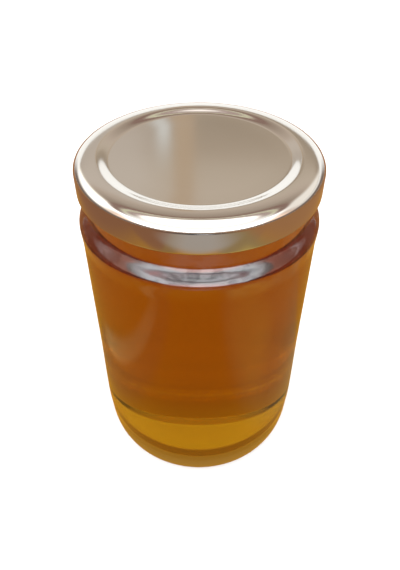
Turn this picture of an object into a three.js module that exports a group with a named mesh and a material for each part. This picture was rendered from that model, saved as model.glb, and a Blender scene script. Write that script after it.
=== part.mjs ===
// Glass honey jar shut by a pressed tinplate twist-off lid.
// Millimetres, +Z up, with the origin at the centre of the base that the jar stands on.

import * as THREE from 'three';

// Facets round each turned piece
const SIDES = 60;
// Clearance kept between pieces that touch
const FIT_GAP = 0.3;

// Lid: outer diameter, height of its top, depth of its skirt and thickness of its wall
const LID_DIAMETER = 86;
const LID_TOP = 139.3;
const LID_HEIGHT = 11.1;
const LID_WALL = 0.6;
// Gently rounded ring of the lid, falling outwards from its crown until it runs into the edge
const LID_RING = { crown: 35.6, round: 26, outer: 38.6 };
// Width of the rounded edge, whose height follows from its smooth run out of the ring
const LID_EDGE = 5.4;
// Sunk panel inside the ring
const LID_PANEL = { radius: 30.6, depth: 1.3 };
// Rolled edge at the foot of the skirt
const LID_CURL = 0.8;

// Glass body: radius of the two protecting beads and of the sunk label panel between them
const BEAD_RADIUS = 43.85;
const PANEL_RADIUS = 43.5;
const PANEL_FOOT = 60;
const PANEL_HEAD = 108.5;
const WALL = 2.5;

// Base: shallow dish underneath and flat ring that the jar stands on
const RECESS = { radius: 22, depth: 2.2 };
const RING = { inner: 35, outer: 38.4 };
// Heel: rounded up to an angle in degrees below the outward direction, then leaning out to its top,
// the lower bead
const HEEL = { across: 4.9, up: 12, ends: 7, top: 22 };
// Inside of the base
const FLOOR_AT_WALL = 6;
const FLOOR_AT_AXIS = 7;
const FLOOR_RADIUS = 30;
const INNER_HEEL = { across: 7, up: 10 };

// Shoulder and neck
const NECK_RADIUS = 39.8;
const MOUTH_RADIUS = 36.8;
const SHOULDER = { foot: 115.4, head: 121.6 };
const INNER_SHOULDER = { foot: 112, head: 122 };

// Honey: level at the axis, behind the lid's skirt, and the rise of its edge at the wall
const HONEY_LEVEL = 129.4;
const MENISCUS = { across: 3, up: 0.6 };

const GLASS = { color: 0xe6efe9, roughness: 0.03, metalness: 0 };
const HONEY = { color: 0x9a5206, roughness: 0.05, metalness: 0 };
const TINPLATE = { color: 0xb9aa98, roughness: 0.24, metalness: 1 };

// Points of an outline are (radius, height) pairs.
const at = (radius, height) => new THREE.Vector2(radius, height);

// Elliptical arc from one angle to another, in degrees from the outward direction
function arc(centre, across, up, from, to, steps) {
  const points = [];
  for (let i = 0; i <= steps; i += 1) {
    const angle = THREE.MathUtils.degToRad(from + ((to - from) * i) / steps);
    points.push(at(centre.x + across * Math.cos(angle), centre.y + up * Math.sin(angle)));
  }
  return points;
}

// Smooth S-shaped run between two points, level or upright at both ends
function ease(start, end, steps, upright) {
  const points = [];
  for (let i = 0; i <= steps; i += 1) {
    const t = i / steps;
    const s = THREE.MathUtils.smoothstep(t, 0, 1);
    const across = upright ? s : t;
    const along = upright ? t : s;
    points.push(at(
      THREE.MathUtils.lerp(start.x, end.x, across),
      THREE.MathUtils.lerp(start.y, end.y, along),
    ));
  }
  return points;
}

// A turned piece: its outline swept round the upright axis
function turned(name, outline, finish) {
  const geometry = new THREE.LatheGeometry(outline, SIDES);
  geometry.rotateX(Math.PI / 2);
  const mesh = new THREE.Mesh(geometry, new THREE.MeshStandardMaterial(finish));
  mesh.name = name;
  return mesh;
}

// Outside of the glass, from the middle of the base up to the neck
function glassOutside() {
  const shoulder = ease(at(BEAD_RADIUS, SHOULDER.foot), at(NECK_RADIUS, SHOULDER.head), 8, true);
  return [
    at(0, RECESS.depth),
    ...ease(at(RECESS.radius, RECESS.depth), at(RING.inner, 0), 4, false),
    ...arc(at(RING.outer, HEEL.up), HEEL.across, HEEL.up, -90, -HEEL.ends, 8),
    ...ease(at(BEAD_RADIUS, HEEL.top), at(PANEL_RADIUS, PANEL_FOOT), 4, true),
    ...ease(at(PANEL_RADIUS, PANEL_HEAD), at(BEAD_RADIUS, SHOULDER.foot), 4, true),
    ...shoulder.slice(1),
  ];
}

// Inner radius of the glass where the wall draws in to the mouth
function boreRadius(height) {
  const drawnIn = THREE.MathUtils.smoothstep(height, INNER_SHOULDER.foot, INNER_SHOULDER.head);
  return THREE.MathUtils.lerp(PANEL_RADIUS - WALL, MOUTH_RADIUS, drawnIn);
}

// Inside of the glass from the middle of the floor up to a height, moved inwards by a clearance
function glassInside(gap, top, steps) {
  const wallRadius = PANEL_RADIUS - WALL - gap;
  const floor = FLOOR_AT_WALL + gap;
  const heelCentre = at(wallRadius - INNER_HEEL.across, floor + INNER_HEEL.up);
  const shoulder = [];
  for (let i = 0; i <= steps; i += 1) {
    const height = THREE.MathUtils.lerp(INNER_SHOULDER.foot, top, i / steps);
    shoulder.push(at(boreRadius(height) - gap, height));
  }
  return [
    ...ease(at(0, FLOOR_AT_AXIS + gap), at(FLOOR_RADIUS, floor), 3, false),
    ...arc(heelCentre, INNER_HEEL.across, INNER_HEEL.up, -90, 0, 6),
    ...shoulder,
  ];
}

// Slope of the lid's ring where it runs into the rounded edge
function ringTilt() {
  return Math.asin((LID_RING.outer - LID_RING.crown) / LID_RING.round);
}

// Jar of clear glass, open at the mouth
function jarGlass() {
  const rimHalf = (NECK_RADIUS - MOUTH_RADIUS) / 2;
  const ringFall = LID_RING.round * (1 - Math.cos(ringTilt()));
  const rimTop = LID_TOP - ringFall - LID_WALL - FIT_GAP;
  const rimCentre = at(MOUTH_RADIUS + rimHalf, rimTop - rimHalf);
  const outline = [
    ...glassOutside(),
    ...arc(rimCentre, rimHalf, rimHalf, 0, 180, 6),
    ...glassInside(0, INNER_SHOULDER.head, 6).reverse(),
  ];
  return turned('jar_glass', outline, GLASS);
}

// Honey standing in the jar up to its level, with its edge drawn up at the wall
function honey() {
  const edgeHeight = HONEY_LEVEL + MENISCUS.up;
  const curveCentre = at(boreRadius(edgeHeight) - FIT_GAP - MENISCUS.across, edgeHeight);
  const edgeToLevel = arc(curveCentre, MENISCUS.across, MENISCUS.up, 0, -90, 4);
  const outline = [
    ...glassInside(FIT_GAP, INNER_SHOULDER.head, 6),
    ...edgeToLevel,
    at(0, HONEY_LEVEL),
  ];
  return turned('honey', outline, HONEY);
}

// Lid pressed from one sheet: sunk panel, rounded ring, rounded edge, skirt and rolled foot
function lid() {
  const radius = LID_DIAMETER / 2;
  const foot = LID_TOP - LID_HEIGHT;
  const panelTop = LID_TOP - LID_PANEL.depth;
  const tilt = ringTilt();
  const meet = Math.acos((LID_RING.outer - radius + LID_EDGE) / LID_EDGE);
  const edgeDown = LID_EDGE * Math.tan(tilt) * Math.tan(meet);
  const ringCentre = at(LID_RING.crown, LID_TOP - LID_RING.round);
  const ringEnds = 90 - THREE.MathUtils.radToDeg(tilt);
  const edgeTop = ringCentre.y + LID_RING.round * Math.cos(tilt);
  const edgeCentre = at(radius - LID_EDGE, edgeTop - edgeDown * Math.sin(meet));
  const curlCentre = at(radius - LID_CURL, foot + LID_CURL);
  const step = ease(at(LID_RING.crown, LID_TOP), at(LID_PANEL.radius, panelTop), 4, false);
  const outside = [
    ...arc(curlCentre, LID_CURL, LID_CURL, -180, 0, 6),
    ...arc(edgeCentre, LID_EDGE, edgeDown, 0, THREE.MathUtils.radToDeg(meet), 7),
    ...arc(ringCentre, LID_RING.round, LID_RING.round, ringEnds, 90, 2).slice(1),
    ...step.slice(1),
    at(0, panelTop),
  ];
  const inside = [
    at(0, panelTop - LID_WALL),
    ...step.map((point) => at(point.x, point.y - LID_WALL)).reverse(),
    ...arc(edgeCentre, LID_EDGE - LID_WALL, edgeDown - LID_WALL, 90, 0, 6),
    at(radius - LID_WALL, foot + 2 * LID_CURL + LID_WALL),
    at(radius - LID_CURL - LID_WALL, foot + 2 * LID_CURL),
  ];
  return turned('lid', [...inside, ...outside], TINPLATE);
}

const jar = new THREE.Group();
jar.add(jarGlass(), honey(), lid());

export default jar;
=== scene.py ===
import math

import bpy
from mathutils import Matrix, Vector


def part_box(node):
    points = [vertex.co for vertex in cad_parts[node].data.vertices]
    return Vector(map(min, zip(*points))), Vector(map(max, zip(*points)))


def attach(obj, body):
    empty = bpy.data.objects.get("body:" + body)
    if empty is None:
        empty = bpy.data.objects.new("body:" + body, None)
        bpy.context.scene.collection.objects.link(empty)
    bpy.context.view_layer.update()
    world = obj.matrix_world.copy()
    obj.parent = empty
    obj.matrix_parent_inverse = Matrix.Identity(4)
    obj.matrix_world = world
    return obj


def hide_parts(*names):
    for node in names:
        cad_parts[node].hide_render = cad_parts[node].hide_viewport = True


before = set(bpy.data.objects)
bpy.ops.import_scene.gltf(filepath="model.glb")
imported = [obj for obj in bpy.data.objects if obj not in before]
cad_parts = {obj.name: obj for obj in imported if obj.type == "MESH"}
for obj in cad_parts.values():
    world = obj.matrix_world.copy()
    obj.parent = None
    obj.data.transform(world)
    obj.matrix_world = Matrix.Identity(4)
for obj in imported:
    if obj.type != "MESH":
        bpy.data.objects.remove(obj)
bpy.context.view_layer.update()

bl_info = {
    "name": "Honey Jar",
    "version": (1, 0, 0),
    "blender": (4, 5, 0),
    "location": "View3D > Sidebar > Honey Jar",
    "description": "Glass jar of honey shut by a tinplate twist-off lid, on a studio floor",
    "category": "Object",
}

MM = 0.001

# Heights and radii that the frame gives
GLASS_LOW, GLASS_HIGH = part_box("jar_glass")
HONEY_LOW, HONEY_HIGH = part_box("honey")
LID_LOW, LID_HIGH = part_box("lid")

# Sides round a turned piece, and the distance within which its points are merged
SIDES = 180
MERGE = 2e-6

# Image height in pixels, and the sensor height that the focal length is worked out for
IMAGE_HEIGHT = 570
SENSOR = 36
# Width of the floor, radius of the table, and how far each lies below the jar
FLOOR_SIZE = 12
FLOOR_DROP = 0.4 * MM
TABLE_RADIUS = 5.5
TABLE_DROP = 0.1 * MM
# Bright spot on the table, far in front of the jar
GLINT = (0.03, -0.46, 0)


def length(name, description, metres):
    """A property that holds a size."""
    return bpy.props.FloatProperty(
        name=name, description=description, default=metres, precision=5, subtype="DISTANCE", unit="LENGTH")


def angle(name, description, degrees):
    """A property that holds an angle."""
    return bpy.props.FloatProperty(
        name=name, description=description, default=math.radians(degrees), subtype="ANGLE", unit="ROTATION")


def amount(name, description, value):
    """A property that holds a plain number."""
    return bpy.props.FloatProperty(name=name, description=description, default=value, precision=4)


def colour(name, description, rgb):
    """A property that holds a linear colour."""
    return bpy.props.FloatVectorProperty(
        name=name, description=description, default=rgb, size=3, min=0, soft_max=1, subtype="COLOR")


class GlassSettings(bpy.types.PropertyGroup):
    """Sizes and looks of the glass."""
    bead_radius: length("Bead radius", "Outer radius of the two protecting beads", GLASS_HIGH.x)
    panel_sink: length("Panel sink", "How far the label panel lies inside the beads", 0.35 * MM)
    panel_foot: length("Panel foot", "Height of the lower end of the label panel", 60 * MM)
    panel_head: length("Panel head", "Height of the upper end of the label panel", 108.5 * MM)
    wall: length("Wall", "Thickness of the wall", 2.5 * MM)
    recess_depth: length("Recess depth", "Depth of the recess in the underside", 2.2 * MM)
    recess_radius: length("Recess radius", "Radius of the flat part of the recess", 22 * MM)
    ring_inner: length("Ring inside", "Inner radius of the ring that the jar stands on", 35 * MM)
    ring_outer: length("Ring outside", "Outer radius of the ring that the jar stands on", 38.4 * MM)
    heel_across: length("Heel across", "Width of the rounded heel", 4.9 * MM)
    heel_up: length("Heel up", "Height of the rounded heel", 12 * MM)
    heel_ends: angle("Heel ends", "Angle below the outward direction where the roundness ends", 7)
    heel_top: length("Heel top", "Height of the lower bead, where the heel starts to lean in", 22 * MM)
    floor_wall: length("Floor at wall", "Height of the inner floor near the wall", 6 * MM)
    floor_axis: length("Floor at axis", "Height of the inner floor at the middle", 7 * MM)
    floor_radius: length("Floor radius", "Radius of the rise in the inner floor", 30 * MM)
    inner_heel_across: length("Inner heel across", "Width of the inner heel", 7 * MM)
    inner_heel_up: length("Inner heel up", "Height of the inner heel", 10 * MM)
    neck_radius: length("Neck radius", "Outer radius of the neck", 39.8 * MM)
    mouth_radius: length("Mouth radius", "Inner radius of the mouth", 36.8 * MM)
    shoulder_foot: length("Shoulder foot", "Height where the shoulder starts", 115.4 * MM)
    shoulder_head: length("Shoulder head", "Height where the shoulder meets the neck", 121.6 * MM)
    bore_foot: length("Bore foot", "Height where the inside starts to draw in", 112 * MM)
    bore_head: length("Bore head", "Height where the inside meets the mouth", 122 * MM)
    tint: colour("Tint", "Colour of the glass", (0.97, 0.985, 0.97))
    index: amount("Refractive index", "Index of the glass, and of the honey against it", 1.5)
    gloss: amount("Gloss", "Extra shine of the hard coating on the shoulder", 1.0)
    wave: length("Wave", "Depth of the slow waves in the blown wall", 0.025 * MM)
    wave_pitch: length("Wave pitch", "Distance between the waves", 26 * MM)
    ripple: length("Ripple", "Depth of the finer ripples at the shoulder", 0.15 * MM)
    ripple_pitch: length("Ripple pitch", "Distance between the ripples", 6 * MM)


class HoneySettings(bpy.types.PropertyGroup):
    """Sizes and looks of the honey."""
    edge_height: length("Edge height", "Height of the honey's edge at the wall", HONEY_HIGH.z)
    meniscus_across: length("Meniscus width", "Width of the curve at the wall", 3 * MM)
    meniscus_up: length("Meniscus rise", "Rise of the curve at the wall", 0.6 * MM)
    overlap: length("Overlap", "How far the honey reaches into the glass", 0.2 * MM)
    absorbs: colour("Absorption colour", "Colour that the honey lets pass", (0.863, 0.695, 0.0))
    density: amount("Density", "Strength of the absorption for each metre", 60.0)
    index: amount("Refractive index", "Index of the honey's open surface", 1.49)
    index_at_glass: amount("Index at the glass", "Index of the honey against the glass", 1.02)
    haze: amount("Haze", "Faint cloudiness of the honey, as a roughness at the glass", 0.2)


class LidSettings(bpy.types.PropertyGroup):
    """Sizes and looks of the lid."""
    sheet: length("Sheet", "Thickness of the sheet as modelled", 0.6 * MM)
    crown: length("Crown", "Radius of the highest line of the ring", 35.6 * MM)
    ring_round: length("Ring roundness", "Radius of the ring's gentle curve", 26 * MM)
    ring_outer: length("Ring outside", "Radius where the ring runs into the rounded edge", 38.6 * MM)
    edge_across: length("Edge across", "Width of the rounded edge", 5.4 * MM)
    panel_radius: length("Panel radius", "Radius of the sunk panel", 30.6 * MM)
    panel_depth: length("Panel depth", "Depth of the sunk panel", 1.3 * MM)
    curl: length("Curl", "Radius of the rolled edge", 0.8 * MM)
    metal: colour("Metal", "Colour of the tinplate", (0.66, 0.62, 0.56))
    roughness: amount("Roughness", "Roughness of the tinplate", 0.1)


class StageSettings(bpy.types.PropertyGroup):
    """Camera and surroundings."""
    focal: amount("Focal length", "Focal length in pixels of the 400 by 570 image", 531.2)
    back: length("Camera distance", "Distance of the camera from the jar's axis", 163.85 * MM)
    height: length("Camera height", "Height of the camera", 227.64 * MM)
    aside: length("Camera offset", "Sideways offset of the camera", 0.33 * MM)
    pitch: angle("Camera pitch", "Angle of the view below the horizon", 42.518)
    roll: angle("Camera roll", "Turn of the camera about its view", 0.235)
    floor: colour("Floor", "Colour of the pale floor", (0.86, 0.85, 0.83))
    table_left: colour("Table at left", "Light that the table gives at the left", (0.32, 0.15, 0.08))
    table_right: colour("Table at right", "Light that the table gives at the right", (0.44, 0.22, 0.10))
    table_near_left: colour("Table near left", "Light of the table left of the jar", (0.36, 0.22, 0.08))
    table_near_right: colour("Table near right", "Light of the table right of the jar", (0.36, 0.27, 0.13))
    # Painted shade: the table just behind the jar is darker, as the jar's own shade falls there
    table_shade_behind: colour("Table behind", "Light of the table just behind the jar", (0.42, 0.228, 0.03))
    table_under: colour("Table under", "Light of the table in the jar's own shade", (0.30, 0.145, 0.025))
    table_front: colour("Table in front", "Light of the table in front of the jar", (0.50, 0.46, 0.43))
    # Painted shade: the table is dark far in front of the jar, and the lid's edge mirrors it as a dark band
    table_far_shade: colour("Table far", "Light of the table far in front of the jar", (0.10, 0.10, 0.11))
    table_glint: colour("Table glint", "Light of the bright spot on the table", (1.4, 1.4, 1.5))
    table_sheen: colour("Table sheen", "Light of the table in front at the right", (0.74, 0.54, 0.14))
    table_strip: colour("Table strip", "Light of the narrow strip at the left", (0.70, 0.52, 0.20))
    table: colour("Table", "Light that the table gives to glass and metal", (0.60, 0.30, 0.035))
    backdrop: colour("Backdrop", "Colour of the backdrop for the camera", (0.90, 0.89, 0.87))
    light: amount("Light", "Strength of the light from all round", 3.0)
    window: amount("Window", "Further strength of the window in front", 3.0)


SETTINGS = {
    "jar_glass": GlassSettings,
    "jar_honey": HoneySettings,
    "jar_lid": LidSettings,
    "jar_stage": StageSettings,
}


class Value:
    """An output socket; arithmetic on it adds Math nodes to its graph."""

    def __init__(self, graph, socket):
        self.graph = graph
        self.socket = socket

    def math(self, operation, *operands):
        sockets = dict(enumerate(operands))
        return self.graph.node("ShaderNodeMath", {"operation": operation}, sockets)

    def __add__(self, other):
        return self.math("ADD", self, other)

    def __radd__(self, other):
        return self.math("ADD", other, self)

    def __sub__(self, other):
        return self.math("SUBTRACT", self, other)

    def __rsub__(self, other):
        return self.math("SUBTRACT", other, self)

    def __mul__(self, other):
        return self.math("MULTIPLY", self, other)

    def __rmul__(self, other):
        return self.math("MULTIPLY", other, self)

    def __abs__(self):
        return self.math("ABSOLUTE", self)


class Graph:
    """The nodes of one material or world."""

    def __init__(self, tree):
        self.tree = tree
        tree.nodes.clear()

    def node(self, kind, settings=None, sockets=None, output=0):
        """Adds a node: its settings are set first, then its sockets get values or links."""
        made = self.tree.nodes.new(kind)
        for name, value in (settings or {}).items():
            if name == "stops":
                self.set_stops(made.color_ramp, value)
            else:
                setattr(made, name, value)
        for name, value in (sockets or {}).items():
            if isinstance(value, Value):
                self.tree.links.new(value.socket, made.inputs[name])
            else:
                made.inputs[name].default_value = value
        return Value(self, made.outputs[output]) if len(made.outputs) else None

    @staticmethod
    def set_stops(ramp, stops):
        while len(ramp.elements) < len(stops):
            ramp.elements.new(1)
        for element, (position, rgb) in zip(ramp.elements, stops):
            element.position = position
            element.color = (*rgb, 1)

    def above(self, value, low, high):
        """0 below low and 1 above high, with a smooth step between."""
        return self.node(
            "ShaderNodeMapRange",
            {"interpolation_type": "SMOOTHSTEP"},
            {"Value": value, "From Min": low, "From Max": high})

    def below(self, value, low, high):
        """1 below low and 0 above high, with a smooth step between."""
        return 1.0 - self.above(value, low, high)

    def band(self, value, rise, fall):
        """1 between two smooth steps, each given by where it starts and ends."""
        return self.above(value, *rise) * self.below(value, *fall)

    def mix(self, factor, first, second):
        """A colour between two others."""
        return self.node(
            "ShaderNodeMix", {"data_type": "RGBA"}, {0: factor, 6: first, 7: second}, output=2)

    def overlay(self, shade, patches):
        """A colour overlaid in turn by others, each where its mask is 1."""
        for mask, rgb in patches:
            shade = self.mix(mask, shade, rgb if isinstance(rgb, Value) else (*rgb, 1))
        return shade

    def parts(self, vector):
        """The x, y and z of a vector."""
        split = self.node("ShaderNodeSeparateXYZ", None, {0: vector}).socket.node
        return [Value(self, socket) for socket in split.outputs]

    def bump(self, height):
        """A normal for relief whose height is in metres."""
        return self.node("ShaderNodeBump", None, {"Height": height, "Distance": 1.0, "Strength": 1.0})


def new_material(name):
    material = bpy.data.materials.new(name)
    material.use_nodes = True
    return material, Graph(material.node_tree)


def clear_glass(glass):
    """Blown glass against air: slow waves in its surface, and a rippled shoulder with shiny patches."""
    material, graph = new_material("clear_glass")
    place = graph.node("ShaderNodeTexCoord", output=3)
    waves = graph.node(
        "ShaderNodeTexNoise", None, {"Vector": place, "Scale": 1 / glass.wave_pitch, "Detail": 1.5})
    ripple = graph.node(
        "ShaderNodeTexNoise", None, {"Vector": place, "Scale": 1 / glass.ripple_pitch, "Detail": 2.0})
    height = graph.parts(place)[2]
    shoulder = graph.above(height, glass.panel_head, glass.shoulder_foot)
    shiny = 0.35 + graph.above(ripple, 0.44, 0.53) * 0.65
    surface = graph.node("ShaderNodeBsdfPrincipled", None, {
        "Base Color": (*glass.tint, 1),
        "Roughness": 0.0,
        "IOR": glass.index,
        "Transmission Weight": 1.0,
        "Coat Weight": shoulder * shiny * glass.gloss,
        "Coat Roughness": 0.03,
        "Normal": graph.bump(waves * glass.wave + ripple * shoulder * glass.ripple),
    })
    graph.node("ShaderNodeOutputMaterial", None, {"Surface": surface})
    return material


def wetted_glass():
    """Glass that the honey touches: the two have nearly one index, so nothing is mirrored there."""
    material, graph = new_material("wetted_glass")
    surface = graph.node("ShaderNodeBsdfPrincipled", None, {
        "Base Color": (1, 1, 1, 1),
        "Roughness": 0.0,
        "IOR": 1.0,
        "Transmission Weight": 1.0,
    })
    graph.node("ShaderNodeOutputMaterial", None, {"Surface": surface})
    return material


def amber_honey(name, honey, index, haze):
    """Clear honey that takes up blue and green light along the way through it."""
    material, graph = new_material(name)
    surface = graph.node("ShaderNodeBsdfPrincipled", None, {
        "Base Color": (1, 1, 1, 1),
        "Roughness": haze,
        "IOR": index,
        "Transmission Weight": 1.0,
    })
    inside = graph.node("ShaderNodeVolumeAbsorption", None, {
        "Color": (*honey.absorbs, 1), "Density": honey.density})
    graph.node("ShaderNodeOutputMaterial", None, {"Surface": surface, "Volume": inside})
    return material


def tinplate(lid):
    """Bright tinplate: fine lines from rolling run across the lid."""
    material, graph = new_material("tinplate")
    place = graph.node("ShaderNodeTexCoord", output=3)
    stretched = graph.node(
        "ShaderNodeMapping", None, {"Vector": place, "Scale": (60, 2600, 900)})
    grain = graph.node("ShaderNodeTexNoise", None, {"Vector": stretched, "Scale": 1.0, "Detail": 3.0})
    cloud = graph.node("ShaderNodeTexNoise", None, {"Vector": place, "Scale": 45.0, "Detail": 3.0})
    surface = graph.node("ShaderNodeBsdfPrincipled", None, {
        "Base Color": (*lid.metal, 1),
        "Metallic": 1.0,
        "Roughness": lid.roughness + (cloud - 0.5) * 0.06,
        "Normal": graph.bump(grain * (0.004 * MM)),
    })
    graph.node("ShaderNodeOutputMaterial", None, {"Surface": surface})
    return material


def arc(centre, across, up, start, end, steps):
    """Points of an elliptical arc, in degrees from the outward direction."""
    turns = [math.radians(start + (end - start) * i / steps) for i in range(steps + 1)]
    return [(centre[0] + across * math.cos(t), centre[1] + up * math.sin(t)) for t in turns]


def smoothstep(t):
    return t * t * (3 - 2 * t)


def lerp(a, b, t):
    return a + (b - a) * t


def between(start, end, t):
    """A point on the line from one point to another."""
    return (lerp(start[0], end[0], t), lerp(start[1], end[1], t))


def ease(start, end, steps, upright=True):
    """An S-shaped run between two points, upright or level at both ends."""
    points = []
    for i in range(steps + 1):
        t = i / steps
        across, along = (smoothstep(t), t) if upright else (t, smoothstep(t))
        points.append((lerp(start[0], end[0], across), lerp(start[1], end[1], along)))
    return points


def start_piece(name):
    """A new object of one vertex at the origin, left in edit mode."""
    bpy.ops.object.select_all(action="DESELECT")
    bpy.ops.mesh.primitive_plane_add(size=MM, location=(0, 0, 0))
    piece = bpy.context.object
    piece.name = piece.data.name = name
    bpy.ops.object.mode_set(mode="EDIT")
    bpy.ops.mesh.select_mode(type="VERT")
    bpy.ops.mesh.select_all(action="SELECT")
    bpy.ops.mesh.merge(type="CENTER")
    return piece


def turn_outline(name, outline, sharp=50):
    """Draws an outline of (radius, height) points vertex by vertex and spins it into a piece."""
    piece = start_piece(name)
    corners = [Vector((radius, 0, height)) for radius, height in outline]
    bpy.ops.transform.translate(value=corners[0])
    for here, there in zip(corners, corners[1:]):
        bpy.ops.mesh.extrude_region_move(TRANSFORM_OT_translate={"value": there - here})
    bpy.ops.mesh.select_all(action="SELECT")
    bpy.ops.mesh.spin(steps=SIDES, angle=2 * math.pi, center=(0, 0, 0), axis=(0, 0, 1))
    bpy.ops.mesh.select_all(action="SELECT")
    bpy.ops.mesh.remove_doubles(threshold=MERGE)
    bpy.ops.mesh.normals_make_consistent(inside=False)
    bpy.ops.object.mode_set(mode="OBJECT")
    bpy.ops.object.shade_smooth_by_angle(angle=math.radians(sharp))
    return piece


def finish_piece(piece, node):
    """The piece rides on the jar's one body and stands for a CAD node."""
    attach(piece, "root")
    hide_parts(node)


def bore_radius(glass, height):
    """Inner radius of the glass where it draws in to the mouth."""
    t = (height - glass.bore_foot) / (glass.bore_head - glass.bore_foot)
    wall_radius = glass.bead_radius - glass.panel_sink - glass.wall
    return lerp(wall_radius, glass.mouth_radius, smoothstep(min(max(t, 0), 1)))


def bore_outline(glass, grow):
    """Inside of the glass from the middle of the floor up to the neck, moved outwards by grow."""
    wall_radius = bore_radius(glass, 0) + grow
    floor = glass.floor_wall - grow
    heel = (wall_radius - glass.inner_heel_across, floor + glass.inner_heel_up)
    wall = [(wall_radius, lerp(heel[1], glass.bore_foot, i / 12)) for i in range(1, 12)]
    heights = [lerp(glass.bore_foot, glass.bore_head, i / 20) for i in range(21)]
    return [
        *ease((0, glass.floor_axis - grow), (glass.floor_radius, floor), 14, upright=False),
        *arc(heel, glass.inner_heel_across, glass.inner_heel_up, -90, 0, 18),
        *wall,
        *[(bore_radius(glass, height) + grow, height) for height in heights],
    ]


def glass_outside(glass):
    """Outside of the glass from the middle of the underside to the top of the shoulder."""
    bead = glass.bead_radius
    panel = bead - glass.panel_sink
    foot, head = glass.panel_foot, glass.panel_head
    recess = [(glass.recess_radius * t, glass.recess_depth) for t in (0, 0.25, 0.5, 0.75, 0.98)]
    heel = (glass.ring_outer, glass.heel_up)
    rounded = arc(heel, glass.heel_across, glass.heel_up, -90, -math.degrees(glass.heel_ends), 24)
    lean = [between(rounded[-1], (bead, glass.heel_top), t) for t in (0.25, 0.5, 0.75, 0.9)]
    low_radius, low = lean[-1]
    rise = 2 * (glass.heel_top - low)
    turn = [(lerp(low_radius, bead, 1 - (1 - t) ** 2), low + rise * t) for t in (0.2, 0.4, 0.6, 0.8, 1)]
    wall = [(panel, lerp(foot, head, i / 14)) for i in range(1, 14)]
    return [
        *recess,
        *ease((glass.recess_radius, glass.recess_depth), (glass.ring_inner, 0), 10, upright=False),
        *rounded,
        *lean,
        *turn,
        *ease(turn[-1], (panel, foot), 12)[1:],
        *wall,
        *ease((panel, head), (bead, glass.shoulder_foot), 10),
        *ease((bead, glass.shoulder_foot), (glass.neck_radius, glass.shoulder_head), 20)[1:],
    ]


class HONEYJAR_OT_glass(bpy.types.Operator):
    """Model the glass jar"""
    bl_idname = "honeyjar.glass"
    bl_label = "Glass jar"

    def execute(self, context):
        glass = context.scene.jar_glass
        edge = context.scene.jar_honey.edge_height
        rim_half = (glass.neck_radius - glass.mouth_radius) / 2
        rim = (glass.mouth_radius + rim_half, GLASS_HIGH.z - rim_half)
        inside = [*bore_outline(glass, 0), (glass.mouth_radius, edge)]
        piece = turn_outline("glass_jar", [
            *glass_outside(glass),
            *arc(rim, rim_half, rim_half, 0, 180, 14),
            *reversed(inside),
        ])
        piece.data.materials.append(clear_glass(glass))
        piece.data.materials.append(wetted_glass())
        middle = Vector((0, 0, edge / 2))
        for face in piece.data.polygons:
            centre = face.center
            faces_honey = face.normal.dot(middle - centre) > 0 and centre.z < edge
            in_foot = centre.z < glass.recess_depth - 0.005 * MM
            face.material_index = int(faces_honey or in_foot)
        finish_piece(piece, "jar_glass")
        return {"FINISHED"}


class HONEYJAR_OT_honey(bpy.types.Operator):
    """Model the honey, reaching just into the glass"""
    bl_idname = "honeyjar.honey"
    bl_label = "Honey"

    def execute(self, context):
        glass = context.scene.jar_glass
        honey = context.scene.jar_honey
        edge = (glass.mouth_radius + honey.overlap, honey.edge_height)
        curve = (edge[0] - honey.meniscus_across, edge[1])
        level = edge[1] - honey.meniscus_up
        outline = [
            *bore_outline(glass, honey.overlap),
            *arc(curve, honey.meniscus_across, honey.meniscus_up, 0, -90, 12),
            (curve[0] * 0.6, level),
            (curve[0] * 0.3, level),
            (0, level),
        ]
        piece = turn_outline("honey_fill", outline)
        piece.data.materials.append(amber_honey("amber_honey", honey, honey.index, 0.0))
        piece.data.materials.append(
            amber_honey("amber_honey_at_glass", honey, honey.index_at_glass, honey.haze))
        for face in piece.data.polygons:
            centre = face.center
            is_open = centre.z > level - MM and Vector(centre.xy).length < edge[0] and face.normal.z > 0
            face.material_index = int(not is_open)
        finish_piece(piece, "honey")
        return {"FINISHED"}


class HONEYJAR_OT_lid(bpy.types.Operator):
    """Model the pressed lid"""
    bl_idname = "honeyjar.lid"
    bl_label = "Lid"

    def execute(self, context):
        lid = context.scene.jar_lid
        radius, top, foot = LID_HIGH.x, LID_HIGH.z, LID_LOW.z
        panel = top - lid.panel_depth
        across = lid.edge_across
        tilt = math.asin((lid.ring_outer - lid.crown) / lid.ring_round)
        meet = math.acos((lid.ring_outer - radius + across) / across)
        down = across * math.tan(tilt) * math.tan(meet)
        ring = (lid.crown, top - lid.ring_round)
        edge = (radius - across, ring[1] + lid.ring_round * math.cos(tilt) - down * math.sin(meet))
        curl = (radius - lid.curl, foot + lid.curl)
        step = ease((lid.crown, top), (lid.panel_radius, panel), 20, upright=False)
        under = -lid.sheet
        inside = [
            (0, panel + under),
            *[(x, z + under) for x, z in reversed(step)],
            *arc(edge, across + under, down + under, 90, 0, 12),
            (radius + under, foot + 2 * lid.curl + lid.sheet),
            (curl[0] + under, foot + 2 * lid.curl),
        ]
        outside = [
            *arc(curl, lid.curl, lid.curl, -180, 0, 16),
            *arc(edge, across, down, 0, math.degrees(meet), 28),
            *arc(ring, lid.ring_round, lid.ring_round, 90 - math.degrees(tilt), 90, 10)[1:],
            *step[1:],
            *[(lid.panel_radius * t, panel) for t in (0.8, 0.6, 0.4, 0.2)],
            (0, panel),
        ]
        piece = turn_outline("tin_lid", [*inside, *outside])
        piece.data.materials.append(tinplate(lid))
        finish_piece(piece, "lid")
        return {"FINISHED"}


def plain_material(name, rgb, roughness):
    material, graph = new_material(name)
    surface = graph.node("ShaderNodeBsdfPrincipled", None, {
        "Base Color": (*rgb, 1), "Roughness": roughness})
    graph.node("ShaderNodeOutputMaterial", None, {"Surface": surface})
    return material


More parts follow.
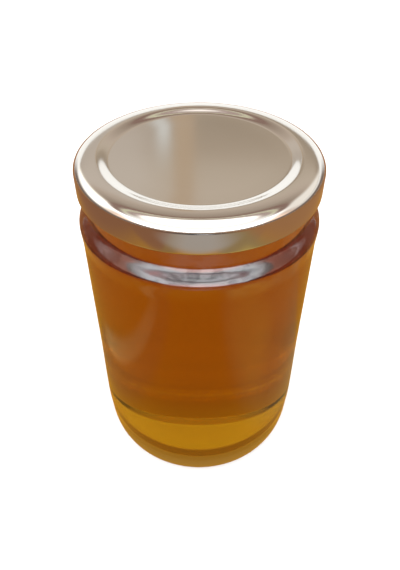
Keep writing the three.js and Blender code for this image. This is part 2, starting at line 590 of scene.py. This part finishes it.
def table_material(stage):
    """A warm table, greyer in front of the jar and darker at its sides, with painted shade under the jar,
    just behind it and far in front of it; places are in metres.
    """
    material, graph = new_material("warm_table")
    place = graph.node("ShaderNodeTexCoord", output=3)
    x, y, z = graph.parts(place)
    left, front, aside = 0.0 - x, 0.0 - y, abs(x)
    from_axis = graph.node("ShaderNodeVectorMath", {"operation": "LENGTH"}, {0: place}, output=1)
    from_glint = graph.node(
        "ShaderNodeVectorMath", {"operation": "DISTANCE"}, {0: place, 1: GLINT}, output=1)
    spread = x * (1.0 + graph.above(front, 0.12, 0.17) * 1.5)
    beside = graph.below(y, 0.02, 0.04) * 0.85
    shade = graph.overlay((*stage.table, 1), [
        (graph.above(spread, 0.07, 0.22), stage.table_right),
        (graph.above(0.0 - spread, 0.07, 0.22), stage.table_left),
        (graph.above(y, 0.15, 0.22), stage.table_right),
        (graph.band(x, (0.035, 0.065), (0.13, 0.18)) * beside, stage.table_near_right),
        (graph.band(left, (0.05, 0.07), (0.085, 0.1)) * beside, stage.table_near_left),
        (graph.band(x, (0.04, 0.07), (0.1, 0.14)) * graph.band(y, (-0.16, -0.11), (-0.07, -0.03)),
         stage.table_sheen),
        (graph.band(left, (0.08, 0.088), (0.096, 0.108)) * graph.band(y, (-0.14, -0.09), (0.0, 0.03)),
         stage.table_strip),
        # Painted shade just behind the jar, where the jar's own shade falls
        (graph.band(y, (0.0, 0.01), (0.025, 0.085)) * graph.below(aside, 0.04, 0.06), stage.table_shade_behind),
        # Painted shade under the jar, where its own contact shade falls
        (graph.below(from_axis, 0.038, 0.043) * graph.below(y, -0.008, 0.002), stage.table_under),
        (graph.above(front, 0.165, 0.185) * graph.below(aside, 0.03, 0.16), stage.table_front),
        # Painted shade far in front of the jar, mirrored as a dark band low on the lid's edge
        (graph.above(front, 0.27, 0.36) * graph.below(aside, 0.12, 0.35), stage.table_far_shade),
        (graph.below(from_glint, 0.03, 0.08), stage.table_glint),
    ])
    glow = graph.node("ShaderNodeEmission", None, {"Color": shade, "Strength": 1.0})
    graph.node("ShaderNodeOutputMaterial", None, {"Surface": glow})
    material.cycles.emission_sampling = "NONE"
    return material


def room_behind(graph, x, z, rise):
    """Behind the jar: a pale low wall, a dim wall with a doorway at the left, and a white ceiling."""
    bands = graph.node("ShaderNodeValToRGB", {"stops": [
        (0.00, (0.46, 0.47, 0.48)),
        (0.365, (0.46, 0.47, 0.48)),
        (0.39, (0.137, 0.112, 0.087)),
        (0.43, (0.155, 0.128, 0.10)),
        (0.483, (0.185, 0.155, 0.125)),
        (0.497, (0.22, 0.192, 0.16)),
        (0.56, (0.24, 0.21, 0.18)),
        (0.61, (0.23, 0.197, 0.17)),
        (0.72, (0.17, 0.142, 0.12)),
        (0.765, (0.15, 0.12, 0.10)),
        (0.785, (0.115, 0.075, 0.065)),
        (0.832, (0.115, 0.075, 0.065)),
        (0.840, (0.25, 0.225, 0.20)),
        (0.850, (0.30, 0.29, 0.22)),
        (0.856, (0.325, 0.345, 0.24)),
        (0.862, (0.305, 0.325, 0.24)),
        (0.871, (0.19, 0.15, 0.14)),
        (0.905, (0.19, 0.15, 0.14)),
        (0.93, (0.85, 0.85, 0.85)),
        (1.00, (0.90, 0.90, 0.90)),
    ]}, {"Fac": rise})
    wall = graph.band(z, (0.36, 0.41), (0.57, 0.62))
    pane = graph.band(x, (-0.088, -0.07), (-0.062, -0.048)) * graph.below(z, 0.44, 0.51)
    post = graph.band(x, (-0.056, -0.042), (-0.02, -0.004))
    side = graph.above(abs(x), 0.46, 0.62) * graph.band(z, (0.3, 0.42), (0.7, 0.76))
    side_light = graph.mix(graph.above(x, -0.3, 0.3), (0.80, 0.80, 0.78, 1), (0.42, 0.41, 0.40, 1))
    return graph.overlay(bands, [
        (graph.below(x, -0.13, -0.05) * wall * 0.6, (0.26, 0.24, 0.225)),
        (pane * wall, (0.29, 0.30, 0.305)),
        (post * wall * 0.9, (0.212, 0.164, 0.118)),
        (side, side_light),
    ])


def room_in_front(graph, x, z):
    """In front of the jar: a bright window over a dim sill, with dim walls beside it."""
    bands = graph.node("ShaderNodeValToRGB", {"stops": [
        (0.00, (0.16, 0.13, 0.11)),
        (0.20, (0.24, 0.22, 0.21)),
        (0.30, (0.95, 0.95, 1.00)),
        (0.60, (0.95, 0.97, 1.00)),
        (0.645, (0.78, 0.79, 0.82)),
        (0.675, (0.78, 0.79, 0.82)),
        (0.69, (0.95, 0.97, 1.00)),
        (0.73, (0.95, 0.97, 1.00)),
        (0.748, (0.50, 0.51, 0.53)),
        (0.86, (0.50, 0.51, 0.53)),
        (0.95, (0.90, 0.90, 0.90)),
    ]}, {"Fac": z})
    flank = graph.above(abs(x), 0.6, 0.85) * graph.below(z, 0.6, 0.75)
    return graph.overlay(bands, [(flank, (0.26, 0.20, 0.17))])


def studio_world(stage):
    """Soft light from all round, and a plain backdrop for the camera.

    Directions have a length of 1, so a height of 0 is the horizon and 1 is straight up.
    """
    world = bpy.data.worlds.new("studio")
    world.use_nodes = True
    graph = Graph(world.node_tree)
    toward = graph.node("ShaderNodeTexCoord", output=0)
    x, y, z = graph.parts(toward)
    narrowed = graph.node("ShaderNodeCombineXYZ", None, {0: x * 0.87, 1: y, 2: z})
    rise = graph.parts(graph.node("ShaderNodeVectorMath", {"operation": "NORMALIZE"}, {0: narrowed}))[2]
    room = graph.mix(
        graph.above(y, -0.2, 0.2), room_in_front(graph, x, z), room_behind(graph, x, z, rise))
    low_sides = graph.above(abs(x), 0.5, 0.75) * graph.below(z, 0.2, 0.34)
    seen = graph.node("ShaderNodeLightPath")
    room = graph.overlay(room, [(low_sides, (0.09, 0.07, 0.06)), (seen, stage.backdrop)])
    window = graph.band(z, (0.2, 0.32), (0.58, 0.66)) + graph.band(z, (0.675, 0.69), (0.73, 0.748)) * 0.5
    window = window * graph.above(0.0 - y, 0.0, 0.3)
    strength = seen + (1.0 - seen) * (stage.light + window * stage.window)
    light = graph.node("ShaderNodeBackground", None, {"Color": room, "Strength": strength})
    graph.node("ShaderNodeOutputWorld", None, {"Surface": light})
    return world


class HONEYJAR_OT_stage(bpy.types.Operator):
    """Set up the floor, the light and the camera"""
    bl_idname = "honeyjar.stage"
    bl_label = "Stage"

    def execute(self, context):
        scene = context.scene
        stage = scene.jar_stage
        bpy.ops.object.select_all(action="DESELECT")
        bpy.ops.mesh.primitive_plane_add(size=FLOOR_SIZE, location=(0, 0, -FLOOR_DROP))
        floor = context.object
        floor.name = "floor"
        floor.data.materials.append(plain_material("pale_floor", stage.floor, 0.7))
        bpy.ops.mesh.primitive_circle_add(
            vertices=96, radius=TABLE_RADIUS, fill_type="NGON", location=(0, 0, -TABLE_DROP))
        table = context.object
        table.name = "table_card"
        table.data.materials.append(table_material(stage))
        table.visible_camera = False
        table.visible_diffuse = False
        table.visible_shadow = False
        turn = Matrix.Rotation(math.pi / 2 - stage.pitch, 4, "X") @ Matrix.Rotation(stage.roll, 4, "Z")
        bpy.ops.object.camera_add(
            location=(stage.aside, -stage.back, stage.height), rotation=turn.to_euler())
        camera = context.object
        camera.data.sensor_fit = "VERTICAL"
        camera.data.sensor_height = SENSOR
        camera.data.lens = stage.focal * SENSOR / IMAGE_HEIGHT
        camera.data.clip_start = MM
        scene.camera = camera
        scene.world = studio_world(stage)
        scene.view_settings.view_transform = "Standard"
        scene.cycles.max_bounces = 40
        scene.cycles.transmission_bounces = 40
        scene.cycles.glossy_bounces = 12
        return {"FINISHED"}


class HONEYJAR_PT_sidebar(bpy.types.Panel):
    """Lists the jar's pieces and their settings"""
    bl_idname = "HONEYJAR_PT_sidebar"
    bl_label = "Honey Jar"
    bl_space_type = "VIEW_3D"
    bl_region_type = "UI"
    bl_category = "Honey Jar"

    def draw(self, context):
        for operator in OPERATORS:
            self.layout.operator(operator.bl_idname)
        for name, group in SETTINGS.items():
            box = self.layout.box()
            for prop in group.__annotations__:
                box.prop(getattr(context.scene, name), prop)


OPERATORS = (HONEYJAR_OT_glass, HONEYJAR_OT_honey, HONEYJAR_OT_lid, HONEYJAR_OT_stage)
CLASSES = (*SETTINGS.values(), *OPERATORS, HONEYJAR_PT_sidebar)


def register():
    for cls in CLASSES:
        bpy.utils.register_class(cls)
    for name, group in SETTINGS.items():
        setattr(bpy.types.Scene, name, bpy.props.PointerProperty(type=group))


def unregister():
    for name in SETTINGS:
        delattr(bpy.types.Scene, name)
    for cls in reversed(CLASSES):
        bpy.utils.unregister_class(cls)


def main():
    register()
    bpy.ops.honeyjar.glass()
    bpy.ops.honeyjar.honey()
    bpy.ops.honeyjar.lid()
    bpy.ops.honeyjar.stage()


if __name__ == "__main__":
    main()
